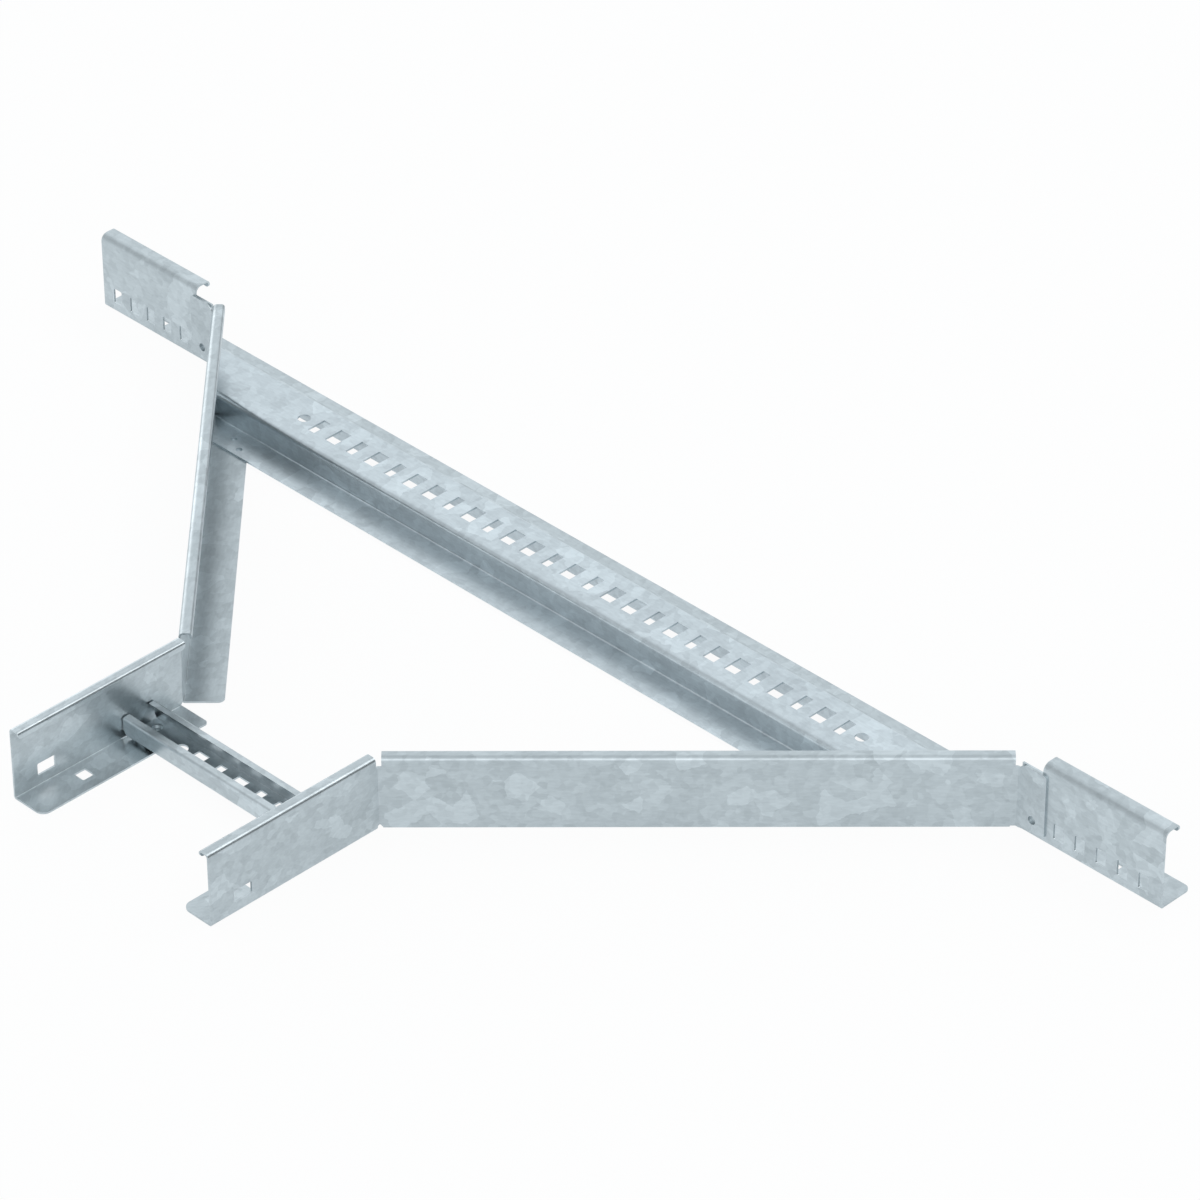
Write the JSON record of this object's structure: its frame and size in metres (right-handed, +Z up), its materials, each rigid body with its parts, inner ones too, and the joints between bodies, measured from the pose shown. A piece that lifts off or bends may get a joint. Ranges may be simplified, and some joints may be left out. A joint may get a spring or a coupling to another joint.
{
  "type": "cable ladder branch",
  "caption": "Flared branch of sheet-steel cable ladder: bent side rails run from a narrow end with a rung out to a wide connection rail with a perforated cross member.",
  "frame": {"origin": "middle of the branch's length and width, on the plane of the rails' undersides", "axes": "+X from the narrow end to the wide end, +Y along the wide end to the left side rail, +Z up"},
  "size_m": [0.4922, 1.074, 0.064],
  "materials": {
    "side_rail_left": "hot-dip galvanised, soft grey spangle",
    "side_rail_right": "hot-dip galvanised, soft grey spangle",
    "connection_rail": "hot-dip galvanised, soft grey spangle",
    "cross_member": "hot-dip galvanised, soft grey spangle",
    "rung": "hot-dip galvanised, soft grey spangle"
  },
  "bodies": {
    "root": {"side_rail_left": "side_rail_left", "side_rail_right": "side_rail_right", "connection_rail": "connection_rail", "cross_member": "cross_member", "rung": "rung"}
  },
  "joints": []
}
